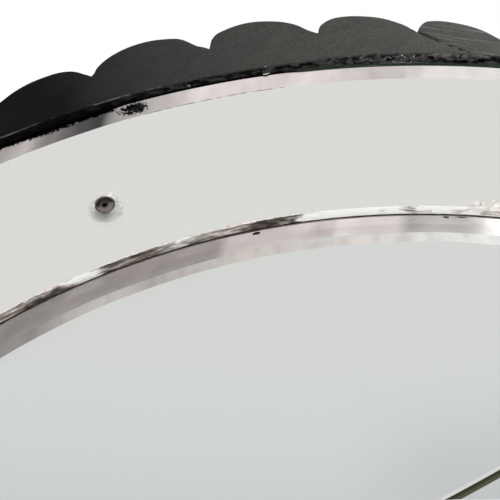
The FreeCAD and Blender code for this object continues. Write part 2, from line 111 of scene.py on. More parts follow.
class Graph:
    """Short ways to add and link the nodes of one material or world."""

    def __init__(self, tree):
        self.tree = tree
        tree.nodes.clear()

    def feed(self, socket, value):
        if isinstance(value, bpy.types.NodeSocket):
            self.tree.links.new(value, socket)
        else:
            socket.default_value = value

    def add(self, kind, output=0, inputs=(), **settings):
        node = self.tree.nodes.new("ShaderNode" + kind)
        for name, setting in settings.items():
            setattr(node, name, setting)
        for key, value in dict(inputs).items():
            self.feed(node.inputs[key], value)
        return node.outputs[output]

    def math(self, operation, *values):
        return self.add("Math", inputs=enumerate(values), operation=operation)

    def product(self, first, *others):
        for other in others:
            first = self.math("MULTIPLY", first, other)
        return first

    def largest(self, first, *others):
        for other in others:
            first = self.math("MAXIMUM", first, other)
        return first

    def invert(self, value):
        return self.math("SUBTRACT", 1.0, value)

    def scaled(self, value, factor, offset):
        return self.math("MULTIPLY_ADD", value, factor, offset)

    def step(self, value, low, high):
        """0 below low and 1 above high, smooth between."""
        edges = {"Value": value, "From Min": low, "From Max": high}
        return self.add("MapRange", inputs=edges, interpolation_type="SMOOTHSTEP")

    def window(self, value, low, high, soft):
        """1 between low and high, falling to 0 over soft on each side."""
        rise = self.step(value, low - soft, low)
        return self.math("SUBTRACT", rise, self.step(value, high, high + soft))

    def ramp(self, factor, stops):
        colour = self.add("ValToRGB", inputs={"Fac": factor})
        bar = colour.node.color_ramp
        bar.interpolation = "LINEAR"
        for number, (place, tone) in enumerate(stops):
            stop = bar.elements[number] if number < 2 else bar.elements.new(place)
            stop.position = place
            stop.color = (*tone, 1.0) if isinstance(tone, tuple) else (tone, tone, tone, 1.0)
        return colour

    def mix(self, factor, first, second):
        inputs = {0: factor, 6: first, 7: second}
        return self.add("Mix", output=2, inputs=inputs, data_type="RGBA")

    def tint(self, first, second):
        inputs = {0: 1.0, 6: first, 7: second}
        return self.add("Mix", output=2, inputs=inputs, data_type="RGBA", blend_type="MULTIPLY")

    def stretch(self, vector, factors):
        return self.add("VectorMath", inputs=enumerate((vector, factors)), operation="MULTIPLY")

    def noise(self, vector, scale=1.0, detail=3.0, distortion=0.0):
        inputs = {"Vector": vector, "Scale": scale, "Detail": detail, "Distortion": distortion}
        return self.add("TexNoise", inputs=inputs)

    def place(self):
        return self.add("TexCoord", output="Object")

    def clock(self):
        """Angle in degrees clockwise from the top, seen from the front, radius and depth."""
        parts = self.add("SeparateXYZ", inputs={0: self.place()}).node.outputs
        turn = self.math("ARCTAN2", parts["X"], parts["Z"])
        side = self.math("MULTIPLY", parts["X"], parts["X"])
        squares = self.scaled(parts["Z"], parts["Z"], side)
        return self.math("DEGREES", turn), self.math("SQRT", squares), parts["Y"]

    def round_ramp(self, angle, stops):
        """A ramp round the mirror: the bottom is 0, the left 0.25, the top 0.5 and the right 0.75."""
        return self.ramp(self.scaled(angle, 1.0 / FULL_TURN, 0.5), stops)

    def streaks(self, angle, depth, along, across, detail=4.0, distortion=0.0, seed=0.0):
        """Noise on an edge, scaled by along for each degree and by across for each metre of depth."""
        strip = self.combine(self.product(angle, along), self.product(depth, across), seed)
        return self.noise(strip, detail=detail, distortion=distortion)

    def combine(self, *values):
        return self.add("CombineXYZ", inputs=enumerate(values))

    def bump(self, height, strength, distance, normal=None):
        inputs = {"Height": height, "Strength": strength, "Distance": distance}
        if normal is not None:
            inputs["Normal"] = normal
        return self.add("Bump", inputs=inputs)

    def surface(self, **inputs):
        sockets = {name.replace("_", " "): value for name, value in inputs.items()}
        shader = self.add("BsdfPrincipled", inputs=sockets)
        output = self.tree.nodes.new("ShaderNodeOutputMaterial")
        self.tree.links.new(shader, output.inputs["Surface"])
        return output


def new_material(name):
    made = bpy.data.materials.new(name)
    made.use_nodes = True
    return made, Graph(made.node_tree)


# Rim: ebonised wood under worn satin lacquer
def black_wood():
    made, g = new_material("black_wood")
    grain = g.add("Attribute", output="Vector", attribute_name="grain")
    raised = g.add("Attribute", output="Fac", attribute_name="raised")
    ends = g.add("Attribute", output="Fac", attribute_name="ends")
    rub_and_highlight = g.add("Attribute", output="Fac", attribute_name="rub_and_highlight")
    lines = g.noise(g.stretch(grain, (24.0, 1900.0, 260.0)), detail=3.0, distortion=0.3)
    patches = g.noise(grain, scale=38.0, detail=5.0)
    mottle = g.noise(g.stretch(grain, (700.0, 1000.0, 800.0)), detail=6.0)
    blotches = g.noise(g.stretch(grain, (60.0, 190.0, 120.0)), detail=5.0, distortion=0.6)
    clumps = g.noise(g.stretch(grain, (160.0, 420.0, 420.0)), detail=5.0, distortion=0.5)
    specks = g.noise(grain, scale=900.0, detail=2.0)
    angle, radius, depth = g.clock()

    # Grey haze on the front, partly real haze on the lacquer and partly a painted sheen that grows lighter
    # towards the top right; it stops short of the lip and gives way to painted shade near the joints
    scuff_and_sheen = g.round_ramp(angle, (
        (0.0, 0.2), (0.2, 0.08), (0.4, 0.0), (0.438, 0.0), (0.4514, 0.25), (0.4778, 0.56), (0.4944, 0.67),
        (0.511, 0.8), (0.53, 0.8), (0.6, 0.3), (0.8, 0.05), (1.0, 0.2)))
    front = g.invert(g.step(depth, GLASS_FRONT + 0.9 * MM, GLASS_FRONT + 1.5 * MM))
    # Near the lip the haze stops in a ragged line, so the front is darker in a band along the lip that is
    # wider on the right
    lip_band_widening = g.step(angle, -9.0, 0.0)
    band = g.scaled(lip_band_widening, -2.9 * MM, -0.7 * MM)
    clean = g.scaled(lip_band_widening, -0.5 * MM, 0.8 * MM)
    ragged = g.product(g.noise(grain, scale=260.0, detail=4.0), band)
    lip_reach = g.math("ADD", g.math("ADD", ragged, clean), radius)
    front = g.product(front, g.step(lip_reach, RIM_INNER - 1.2 * MM, RIM_INNER + 1.0 * MM))
    # Painted shade along the joints between boards: the haze is taken off, raggedly, near each board's end
    joint_shade = g.step(g.scaled(mottle, 0.9, g.math("SUBTRACT", ends, 0.45)), 0.25, 0.75)
    front = g.product(front, g.invert(g.product(joint_shade, ends)))
    haze_and_sheen = g.product(scuff_and_sheen, front, g.scaled(mottle, 1.5, 0.25), g.scaled(blotches, 0.7, 0.65))
    # Grey dust in clumps off the hazed front, stronger where the painted sheen is: partly real dust and
    # partly painted sheen
    dust_and_sheen = g.product(g.step(clumps, 0.42, 0.62), g.scaled(scuff_and_sheen, 1.3, 0.05), g.invert(front))
    base = g.mix(g.step(patches, 0.35, 0.7), (0.0016, 0.0015, 0.0015, 1), (0.0034, 0.0032, 0.003, 1))
    base = g.mix(dust_and_sheen, base, (0.062, 0.061, 0.06, 1))
    base = g.mix(haze_and_sheen, base, (0.045, 0.0455, 0.042, 1))

    # Pale raised grain, a paler rubbed lip that is partly real wear and partly a painted highlight along the
    # arris, and dust
    streak = g.product(raised, g.step(lines, 0.54, 0.66), haze_and_sheen, 0.8)
    base = g.mix(streak, base, (0.13, 0.13, 0.125, 1))
    # Paler lip, strongest on the upper left: partly rubbed wear on the arris and partly a painted highlight
    rubbing_and_highlight = g.scaled(g.window(angle, -60.0, -17.0, 6.0), 0.6, 0.05)
    rubbed_and_highlight = g.product(rub_and_highlight, rubbing_and_highlight, g.step(g.noise(grain, scale=160.0), 0.5, 0.66))
    base = g.mix(rubbed_and_highlight, base, (0.09, 0.086, 0.08, 1))
    dusty = g.largest(g.window(angle, -0.3, 2.6, 1.6), g.window(angle, -8.7, -7.8, 0.2),
                      g.window(angle, -14.3, -13.7, 0.2))
    lip = g.invert(g.step(radius, RIM_INNER + 0.1 * MM, RIM_INNER + 0.9 * MM))
    crumbs = g.step(g.noise(grain, scale=800.0, detail=4.0), 0.62, 0.7)
    base = g.mix(g.product(dusty, lip, crumbs), base, (0.42, 0.41, 0.4, 1))
    height = g.scaled(lines, raised, g.product(specks, 0.12))
    g.surface(Base_Color=base, Roughness=g.scaled(patches, 0.22, 0.34), Specular_IOR_Level=0.075,
              Normal=g.bump(height, 0.5, 0.25 * MM, g.bump(patches, 0.3, 0.6 * MM)))
    return made


# Mirror: clear glass with a faint green body, silver behind it, ground and broken edges
# Stretches of the glass in degrees: where each starts and ends, and how far it fades
DIRTY_ARRIS = (-17.0, -7.6, 0.6)
GREEN_EDGE = (-5.5, 70.0, 1.5)


def mirror_glass():
    """Clear glass; dirt lies along part of the inner edge of the outer bevel."""
    made, g = new_material("mirror_glass")
    wiped = g.noise(g.stretch(g.place(), (9.0, 9.0, 26.0)), detail=3.0)
    angle, radius, depth = g.clock()
    arris = GLASS_RADIUS - BORDER_BEVEL
    line = g.window(radius, arris - 0.1 * MM, arris + 0.32 * MM, 0.12 * MM)
    broken = g.step(g.noise(g.combine(g.product(angle, 1.6), 0.0, 0.0), detail=3.0), 0.36, 0.56)
    outside = g.invert(g.add("NewGeometry", output="Backfacing"))
    dirty = g.product(line, broken, g.window(angle, *DIRTY_ARRIS), outside)
    base = g.mix(dirty, (1, 1, 1, 1), (0.05, 0.042, 0.038, 1))
    output = g.surface(Base_Color=base, Roughness=g.product(wiped, 0.012), IOR=1.52, Transmission_Weight=1.0)
    body = g.add("VolumeAbsorption", inputs={"Color": (0.31, 0.71, 0.51, 1), "Density": 4.0})
    g.feed(output.inputs["Volume"], body)
    return made


def lost_spot(g, angle, radius, mottle, spot):
    """A patch of lost silver: its clock angle, radius and half sizes."""
    at_angle, at_radius, half_angle, half_radius = spot
    across = g.math("DIVIDE", g.math("SUBTRACT", angle, at_angle), half_angle)
    along = g.math("DIVIDE", g.math("SUBTRACT", radius, at_radius), half_radius)
    reach = g.math("ADD", g.math("POWER", across, 2.0), g.math("POWER", along, 2.0))
    return g.invert(g.step(g.math("ADD", reach, mottle), 0.8, 1.25))


def hole_distance(g, angle, radius):
    """How far a place is from the middle of the nearest border screw."""
    half = FULL_TURN / SCREW_COUNT / 2.0
    beside = g.math("SUBTRACT", g.math("WRAP", angle, SCREW_TURN + half, SCREW_TURN - half), SCREW_TURN)
    across = g.product(g.math("RADIANS", beside), SCREW_CIRCLE)
    along = g.math("SUBTRACT", radius, SCREW_CIRCLE)
    return g.math("SQRT", g.math("ADD", g.math("POWER", across, 2.0), g.math("POWER", along, 2.0)))


# Patches of lost silver: clock angle, radius, half width in degrees and half height
LOST_SPOTS = (
    (-17.9, GLASS_RADIUS - 5.8 * MM, 1.0, 4.2 * MM),
    (-11.7, DISC_RADIUS - 1.6 * MM, 0.35, 0.9 * MM),
    (4.2, DISC_RADIUS - 1.2 * MM, 0.22, 0.8 * MM),
    (5.6, DISC_RADIUS - 0.8 * MM, 0.6, 0.4 * MM),
    (118.0, GLASS_RADIUS - 4.0 * MM, 0.9, 2.4 * MM),
    (-141.0, GLASS_RADIUS - 5.0 * MM, 1.4, 2.2 * MM),
)


def silver():
    """Silver on the back: lost in spots and along the edge, dulled round the screw holes."""
    made, g = new_material("silver")
    angle, radius, depth = g.clock()
    grid = g.stretch(g.place(), (1.0, 0.0, 1.0))
    coarse = g.noise(grid, scale=380.0, detail=5.0, distortion=0.6)
    fine = g.noise(grid, scale=700.0, detail=4.0, distortion=0.8)
    mottle = g.scaled(fine, 4.6, -2.2)
    around = g.math("ADD", g.window(angle, -60.0, -20.0, 3.0), g.step(g.noise(grid, scale=5.0), 0.55, 0.7))
    creep = g.product(around, g.scaled(fine, 0.7, g.product(coarse, 0.45)), 6.0 * MM)
    rim_loss = g.step(g.math("ADD", radius, creep), GLASS_RADIUS + 0.6 * MM, GLASS_RADIUS + 1.0 * MM)
    greened = g.window(angle, *GREEN_EDGE)
    edge = g.scaled(greened, 0.9 * MM, radius)
    lost = g.largest(rim_loss, g.step(edge, GLASS_RADIUS - 1.4 * MM, GLASS_RADIUS - 1.1 * MM),
                     *[lost_spot(g, angle, radius, mottle, spot) for spot in LOST_SPOTS])
    green = g.product(greened, g.step(radius, GLASS_RADIUS - 9.0 * MM, GLASS_RADIUS - 3.0 * MM))
    backing = g.mix(green, (0.002, 0.003, 0.002, 1), (0.1, 0.15, 0.11, 1))
    on_border = g.step(radius, DISC_RADIUS, BORDER_INNER)
    bright = g.mix(on_border, (0.895, 0.918, 0.925, 1), (0.955, 0.96, 0.955, 1))
    from_hole = g.scaled(fine, 3.0 * MM, hole_distance(g, angle, radius))
    dulled = g.invert(g.step(from_hole, 7.8 * MM, 11.5 * MM))
    base = g.mix(lost, g.mix(dulled, bright, (1.0, 1.0, 1.0, 1)), backing)
    g.surface(Base_Color=base, Metallic=g.invert(lost), Roughness=g.product(g.largest(lost, dulled), 0.47),
              Specular_IOR_Level=0.0)
    return made


def ground_edge():
    """Ground edge of the glass: pale where clean, brown and dark where dirt has filled it."""
    made, g = new_material("ground_edge")
    angle, radius, depth = g.clock()
    streaks = g.streaks(angle, depth, 0.8, 480.0, detail=6.0, distortion=0.8, seed=radius)
    clumps = g.streaks(angle, depth, 0.26, 110.0, detail=3.0, seed=3.0)
    dirt = g.round_ramp(angle, (
        (0.0, 0.55), (0.12, 0.3), (0.3, 0.6), (0.39, 0.66), (0.4222, 0.74), (0.4244, 0.42), (0.43, 0.42),
        (0.4317, 0.78), (0.4458, 0.72), (0.4486, 0.42), (0.4542, 0.45), (0.458, 0.68), (0.477, 0.7),
        (0.4795, 0.02), (0.4935, 0.03), (0.4953, 0.26), (0.4975, 0.04), (0.5, 0.06), (0.5022, 0.3),
        (0.5055, 0.12), (0.509, 0.3), (0.515, 0.28), (0.62, 0.2), (0.8, 0.6), (1.0, 0.55)))
    unclean = g.math("MINIMUM", g.product(dirt, 6.0), 1.0)
    patchy = g.scaled(streaks, 1.5, g.product(clumps, 1.9))
    level = g.scaled(g.math("SUBTRACT", patchy, 1.7), unclean, dirt)
    base = g.ramp(level, ((0.2, (0.97, 0.97, 0.96)), (0.4, (0.58, 0.53, 0.5)), (0.64, (0.23, 0.195, 0.175)),
                          (0.9, (0.045, 0.036, 0.03))))
    g.surface(Base_Color=base, Roughness=g.scaled(streaks, 0.3, 0.25), Normal=g.bump(streaks, 0.5, 0.4 * MM))
    return made


def broken_glass():
    made, g = new_material("broken_glass")
    shell = g.noise(g.place(), scale=420.0, detail=4.0, distortion=1.2)
    base = g.ramp(shell, ((0.3, (0.25, 0.225, 0.21)), (0.5, (0.4, 0.37, 0.35)), (0.7, (0.52, 0.49, 0.47))))
    g.surface(Base_Color=base, Roughness=g.math("MULTIPLY_ADD", shell, 0.3, 0.1),
              Normal=g.bump(shell, 0.6, 0.5 * MM))
    return made


def fine_edge(name, pale, dark):
    """A finely ground edge or bore."""
    made, g = new_material(name)
    angle, radius, depth = g.clock()
    streaks = g.streaks(angle, depth, 1.1, 400.0)
    base = g.mix(g.step(streaks, 0.35, 0.65), pale, dark)
    g.surface(Base_Color=base, Roughness=g.scaled(streaks, 0.2, 0.4), Specular_IOR_Level=0.2)
    return made


def glass_rim():
    """Outer edge of the plate: dark bottle green, as glass is when seen edge on, black where it is dirty."""
    made, g = new_material("glass_rim")
    angle, radius, depth = g.clock()
    streaks = g.streaks(angle, depth, 1.4, 300.0)
    green = g.mix(g.step(streaks, 0.35, 0.65), (0.09, 0.14, 0.1, 1), (0.16, 0.23, 0.17, 1))
    base = g.mix(g.window(angle, *GREEN_EDGE), (0.004, 0.005, 0.004, 1), green)
    g.surface(Base_Color=base, Roughness=g.scaled(streaks, 0.2, 0.4), Specular_IOR_Level=0.1)
    return made


def new_piece(name, points, faces, materials, face_slots, sharp):
    """A mesh piece that rides on the mirror."""
    mesh = bpy.data.meshes.new(name)
    mesh.from_pydata(points, [], faces)
    for made in materials:
        mesh.materials.append(made)
    mesh.polygons.foreach_set("material_index", face_slots)
    mesh.validate()
    mesh.shade_smooth()
    mesh.set_sharp_from_angle(angle=math.radians(sharp))
    piece = bpy.data.objects.new(name, mesh)
    bpy.context.scene.collection.objects.link(piece)
    return piece


def on_circle(turn, radius, depth):
    return Vector((radius * math.sin(turn), depth, radius * math.cos(turn)))


SEGMENTS = 1440


def turned_rows(rows, slots, closed):
    """Points, faces and slots of rows turned about the mirror's axis; a row gives radius and depth."""
    turns = [2.0 * math.pi * step / SEGMENTS for step in range(SEGMENTS)]
    points = [on_circle(turn, *row(turn)) for row in rows for turn in turns]
    faces = []
    face_slots = []
    strips = len(rows) if closed else len(rows) - 1
    for strip in range(strips):
        near = strip * SEGMENTS
        far = (strip + 1) % len(rows) * SEGMENTS
        for step in range(SEGMENTS):
            after = (step + 1) % SEGMENTS
            faces.append((near + step, near + after, far + after, far + step))
            slot = slots[strip]
            face_slots.append(slot(turns[step]) if callable(slot) else slot)
    return points, faces, face_slots


def hand_line(turn, seed):
    """A slow wander from -1 to 1 along a hand-ground line."""
    waves = ((5, 0.9), (11, 0.6), (23, 0.5), (47, 0.35))
    total = sum(size * math.sin(count * turn + seed * count) for count, size in waves)
    return total / sum(size for count, size in waves)


BEVEL_WANDER = 0.35 * MM


def bevel_top(radius, width, seed):
    return lambda turn: (radius - width + BEVEL_WANDER * hand_line(turn, seed), GLASS_FRONT)


def fixed(radius, depth):
    return lambda turn: (radius, depth)


# Chips along the inner arris of the border glass: clock range, run-out, how deep they bite and how steadily
CHIP_RANGES = ((-62.0, -7.6, 1.5, 0.75, 0.15), (-1.9, 1.6, 1.5, 0.35, 0.15), (5.4, 17.0, 4.5, 6.0, 0.8),
               (70.0, 96.0, 1.5, 0.8, 0.15), (150.0, 215.0, 1.5, 1.0, 0.15))
CHIP_DEEPEST = 1.5 * MM
CHIP_LEAST = 0.12 * MM
GLASS, SILVER, GROUND, BROKEN, EDGE, FINE, BORE, FROST = range(8)


def chip(turn):
    """How far the inner arris is chipped back at a turn."""
    degrees = math.degrees(turn)
    coarse = noise.noise(on_circle(turn, BORDER_INNER, 0.0) * 160.0)
    ragged = coarse + 0.5 * noise.noise(on_circle(turn, BORDER_INNER, 0.3) * 520.0)
    worst = 0.0
    for low, high, ease, bite, steady in CHIP_RANGES:
        for lap in (degrees, degrees - 360.0):
            if low <= lap <= high:
                fade = min(1.0, (lap - low) / ease, (high - lap) / ease)
                worst = max(worst, bite * fade * max(0.0, ragged + steady))
    return CHIP_LEAST + CHIP_DEEPEST * worst


def chip_depth(turn):
    """How far back a chip reaches: wide ones are shallow shells."""
    wide = chip(turn)
    return 0.8 * min(wide, CHIP_DEEPEST) + 0.2 * max(0.0, wide - CHIP_DEEPEST)


# Chips round each hole: way round it from straight up, half width, and reach past the bore in millimetres
HOLE_CHIPS = ((25.0, 32.0, 2.8), (97.0, 10.0, 2.7), (262.0, 16.0, 0.8))
HOLE_CHIP_TURN = 71.0


def chipped_reach(hole, degrees):
    """How far the chipped edge of a hole reaches past its bore."""
    reach = 0.12
    for way, half, size in HOLE_CHIPS:
        off = (degrees - way - HOLE_CHIP_TURN * (SCREW_COUNT - 1 - hole) + 180.0) % 360.0 - 180.0
        reach = max(reach, size * (1.0 - abs(off) / half))
    spin = math.radians(degrees)
    ragged = noise.noise(Vector((hole * 3.0, math.cos(spin) * 3.0, math.sin(spin) * 3.0)))
    return reach * (1.0 + 0.4 * ragged) * MM


def hole_cutter(materials):
    """The eight holes for washers and screws, as one cutter."""
    overrun = 4.0 * MM
    sides = 96
    rows = ((GLASS_FRONT - overrun, WASHER_RIM, 1.0), (GLASS_FRONT + 0.12 * MM, WASHER_RIM, 1.0),
            (GLASS_FRONT + 0.6 * MM, WASHER_RIM, 0.0), (GLASS_FRONT + 3.0 * MM, WASHER_NECK, 0.0),
            (GLASS_BACK + overrun, WASHER_NECK, 0.0))
    row_slots = (FROST, BROKEN, FROST, BORE)
    points = []
    faces = []
    slots = []
    for hole in range(SCREW_COUNT):
        turn = math.radians(SCREW_TURN + FULL_TURN * hole / SCREW_COUNT)
        centre = on_circle(turn, SCREW_CIRCLE, 0.0)
        first = len(points)
        for depth, bore, share in rows:
            for side in range(sides):
                spin = FULL_TURN * side / sides
                radius = bore + share * chipped_reach(hole, spin)
                points.append(centre + on_circle(math.radians(spin), radius, depth))
        for strip in range(len(rows) - 1):
            for side in range(sides):
                after = (side + 1) % sides
                near = first + strip * sides
                far = near + sides
                faces.append((near + after, far + after, far + side, near + side))
                slots.append(row_slots[strip])
        faces.append([first + side for side in reversed(range(sides))])
        last = first + (len(rows) - 1) * sides
        faces.append([last + side for side in range(sides)])
        slots += [FROST, BORE]
    return new_piece("hole_cutter", points, faces, materials, slots, 30.0)


def applied(piece):
    """Puts the result of a piece's modifiers into its mesh."""
    graph = bpy.context.evaluated_depsgraph_get()
    mesh = bpy.data.meshes.new_from_object(piece.evaluated_get(graph))
    piece.modifiers.clear()
    piece.data = mesh
    return mesh


GLASS_SHARP = 7.0


# Flakes off the outer edge of the border glass: clock ranges and how far in they reach
FLAKES = ((-8.65, -8.15, 1.6), (-0.1, 2.2, 0.5), (131.0, 134.0, 1.2))
FLAKE_LEAST = 0.02 * MM


def flake(turn):
    """How far in from the outer edge a flake reaches at a turn."""
    degrees = math.degrees(turn)
    reach = 0.0
    for low, high, size in FLAKES:
        for lap in (degrees, degrees - 360.0):
            if low <= lap <= high:
                ragged = noise.noise(on_circle(turn, GLASS_RADIUS, 0.0) * 420.0)
                reach = max(reach, size * MM * max(0.0, 0.35 + ragged))
    return max(FLAKE_LEAST, reach)


def border_mirror(materials):
    slope = (GLASS_BACK - BORDER_EDGE - GLASS_FRONT) / BORDER_BEVEL

    def flake_row(turn):
        reach = flake(turn)
        return GLASS_RADIUS - reach, GLASS_BACK - BORDER_EDGE - slope * reach

    def flake_slot(turn):
        return BROKEN if flake(turn) > 2.0 * FLAKE_LEAST else GLASS

    rows = (
        lambda turn: (BORDER_INNER + chip(turn), GLASS_FRONT),
        lambda turn: (BORDER_INNER, GLASS_FRONT + chip_depth(turn)),
        fixed(BORDER_INNER, GLASS_BACK),
        fixed(GLASS_RADIUS, GLASS_BACK),
        fixed(GLASS_RADIUS, GLASS_BACK - BORDER_EDGE),
        flake_row,
        bevel_top(GLASS_RADIUS, BORDER_BEVEL, 1.7),
    )
    slots = (BROKEN, GROUND, SILVER, EDGE, flake_slot, GLASS, GLASS)
    points, faces, face_slots = turned_rows(rows, slots, True)
    piece = new_piece("border_glass", points, faces, materials, face_slots, GLASS_SHARP)
    cutter = hole_cutter(materials)
    holes = piece.modifiers.new("holes", "BOOLEAN")
    holes.object = cutter
    holes.operation = "DIFFERENCE"
    holes.solver = "EXACT"
    mesh = applied(piece)
    bpy.data.objects.remove(cutter)
    mesh.shade_smooth()
    mesh.set_sharp_from_angle(angle=math.radians(GLASS_SHARP))
    return piece


def centre_mirror(materials):
    rows = (
        bevel_top(DISC_RADIUS, DISC_BEVEL, 4.1),
        fixed(DISC_RADIUS, GLASS_BACK - DISC_EDGE),
        fixed(DISC_RADIUS, GLASS_BACK),
    )
    points, faces, face_slots = turned_rows(rows, (GLASS, FINE), False)
    faces.append(list(reversed(range(SEGMENTS))))
    face_slots.append(GLASS)
    faces.append(list(range(2 * SEGMENTS, 3 * SEGMENTS)))
    face_slots.append(SILVER)
    return new_piece("centre_glass", points, faces, materials, face_slots, GLASS_SHARP)


# Rim boards: each column of points follows the section of the board at one place along its lobes
COLUMN_STEP = 1.3 * MM
INNER_ARRIS = 0.6 * MM
OUTER_ARRIS = 0.35 * MM
FRONT_ROWS = 9
END_EASE = 1.6 * MM
END_DROP = 0.5 * MM
# How far from a joint the painted shade along it reaches
END_DARK = 1.9 * MM
HAND_PLANE = 0.15 * MM
QUARTER = [math.radians(angle) for angle in (0, 22.5, 45, 67.5, 90)]
# Paleness of each point round the inner arris: partly rubbing and partly a painted highlight
ARRIS_RUB_AND_HIGHLIGHT = (0.5, 0.9, 1.0, 0.7, 0.0)


def flat_point(degrees, radius):
    turn = math.radians(degrees)
    return Vector((radius * math.sin(turn), radius * math.cos(turn)))


def lobe_curve(points):
    """A smooth curve through the points of one lobe."""
    chords = [after - before for before, after in zip(points, points[1:])]
    slopes = [chords[0].normalized()]
    for before, after in zip(chords, chords[1:]):
        slopes.append((before.normalized() * after.length + after.normalized() * before.length).normalized())
    slopes.append(chords[-1].normalized())
    found = [points[0]]
    for number, chord in enumerate(chords):
        reach = chord.length / 3.0
        near, far = points[number], points[number + 1]
        count = max(3, round(chord.length / COLUMN_STEP) + 1)
        handles = (near + slopes[number] * reach, far - slopes[number + 1] * reach)
        found += interpolate_bezier(near, *handles, far, count)[1:]
    return found


def board_columns():
    """Outline points of one board from its first joint to its second, with their inward directions."""
    span = BOARD_ANGLE - math.degrees(SCARF_GAP / CUSP_RADIUS)
    columns = []
    for lobe in LOBE_SHARES:
        points = [flat_point(share * span, CUSP_RADIUS + height * LOBE_HEIGHT) for share, height in lobe]
        curve = lobe_curve(points)
        along = [curve[1] - curve[0]]
        along += [after - before for before, after in zip(curve, curve[2:])]
        along.append(curve[-1] - curve[-2])
        rising = [(spot, Vector((way.y, -way.x)).normalized()) for spot, way in zip(curve, along)]
        if columns:
            spot, before = columns.pop()
            rising[0] = (spot, (before + rising[0][1]).normalized())
        columns += rising
    for end in (0, -1):
        spot, inward = columns[end]
        columns[end] = (spot, -spot.normalized())
    return columns, span


def scarf_shift(depth_share):
    """How far along the rim the hooked scarf has run at a share of the way to the inner edge."""
    nose = SCARF_NOSE_DEPTH / (CUSP_RADIUS - RIM_INNER)
    if depth_share < nose:
        return SCARF_NOSE_RUN * depth_share / nose
    return SCARF_NOSE_RUN + (SCARF_RUN - SCARF_NOSE_RUN) * (depth_share - nose) / (1.0 - nose)


def column_section(spot, inward, start, span):
    """Points round the section of a board at one column, how much rubbing and painted highlight each takes,
    and how near the joint.
    """
    outer = spot.length
    base = math.degrees(math.atan2(spot.x, spot.y))
    from_end = math.radians(min(base, span - base)) * CUSP_RADIUS
    drop = END_DROP * max(0.0, 1.0 - from_end / END_EASE) ** 2

    def across(radius, depth, rub_and_highlight):
        share = min(1.0, max(0.0, (outer - radius) / (outer - RIM_INNER)))
        angle = start + base + math.degrees(scarf_shift(share) / radius)
        return on_circle(math.radians(angle), radius, depth), rub_and_highlight

    def near_outline(inset, depth, rub_and_highlight):
        point = spot + inward * inset
        angle = start + math.degrees(math.atan2(point.x, point.y))
        return on_circle(math.radians(angle), point.length, depth), rub_and_highlight

    def front(radius):
        slope = LOBE_FALL * max(0.0, radius - CUSP_RADIUS) / LOBE_HEIGHT
        place = on_circle(math.radians(start + base), radius, 0.0)
        plane = HAND_PLANE * (0.5 + 0.5 * noise.noise(place * 45.0))
        return GLASS_FRONT + slope + plane + drop

    section = []
    for bend, rub_and_highlight in zip(QUARTER, ARRIS_RUB_AND_HIGHLIGHT):
        radius = RIM_INNER + INNER_ARRIS * (1.0 - math.cos(bend))
        section.append(across(radius, front(radius) + INNER_ARRIS * (1.0 - math.sin(bend)), rub_and_highlight))
    lip = RIM_INNER + INNER_ARRIS
    edge = (spot + inward * OUTER_ARRIS).length
    for row in range(1, FRONT_ROWS):
        radius = lip + (edge - lip) * row / FRONT_ROWS
        section.append(across(radius, front(radius), 0.0))
    for bend in reversed(QUARTER):
        inset = OUTER_ARRIS * (1.0 - math.cos(bend))
        depth = front(outer) + OUTER_ARRIS * (1.0 - math.sin(bend))
        section.append(near_outline(inset, depth, 0.0))
    section.append(near_outline(0.0, GLASS_FRONT / 2.0, 0.0))
    section.append(near_outline(0.0, -INNER_ARRIS, 0.0))
    section.append(near_outline(INNER_ARRIS, 0.0, 0.0))
    section.append(across(REBATE_RADIUS, 0.0, 0.0))
    section.append(across(REBATE_RADIUS, REBATE_FRONT, 0.0))
    section.append(across(RIM_INNER, REBATE_FRONT, 0.0))
    section.append(across(RIM_INNER, front(RIM_INNER) + 1.5 * INNER_ARRIS, 0.0))
    return section, max(0.0, 1.0 - from_end / END_DARK)


def frame_board(number, made, raised):
    start = JOINT_TURN + BOARD_ANGLE * (number - 1)
    columns, span = board_columns()
    sections, nearness = zip(*[column_section(spot, inward, start, span) for spot, inward in columns])
    rows = len(sections[0])
    points = [point for section in sections for point, rub_and_highlight in section]
    rubs_and_highlights = [rub_and_highlight for section in sections for point, rub_and_highlight in section]
    faces = []
    for column in range(len(sections) - 1):
        for row in range(rows):
            near = column * rows
            after = (row + 1) % rows
            faces.append((near + row, near + after, near + rows + after, near + rows + row))
    faces.append(list(reversed(range(rows))))
    faces.append([(len(sections) - 1) * rows + row for row in range(rows)])
    piece = new_piece("rim_board_%d" % number, points, faces, [made], [0] * len(faces), 40.0)
    tilt = math.radians(start + GRAIN_TURN)
    along = Vector((math.cos(tilt), 0.0, -math.sin(tilt)))
    out = Vector((math.sin(tilt), 0.0, math.cos(tilt)))
    grain = [value for point in points for value in (point.dot(along) + number, point.dot(out), point.y)]
    attributes = piece.data.attributes
    attributes.new("grain", "FLOAT_VECTOR", "POINT").data.foreach_set("vector", grain)
    attributes.new("rub_and_highlight", "FLOAT", "POINT").data.foreach_set("value", rubs_and_highlights)
    attributes.new("raised", "FLOAT", "POINT").data.foreach_set("value", [raised] * len(points))
    # Nearness to the board's end, which places the painted shade along the joints
    ends = [near for near in nearness for row in range(rows)]
    attributes.new("ends", "FLOAT", "POINT").data.foreach_set("value", ends)
    return piece


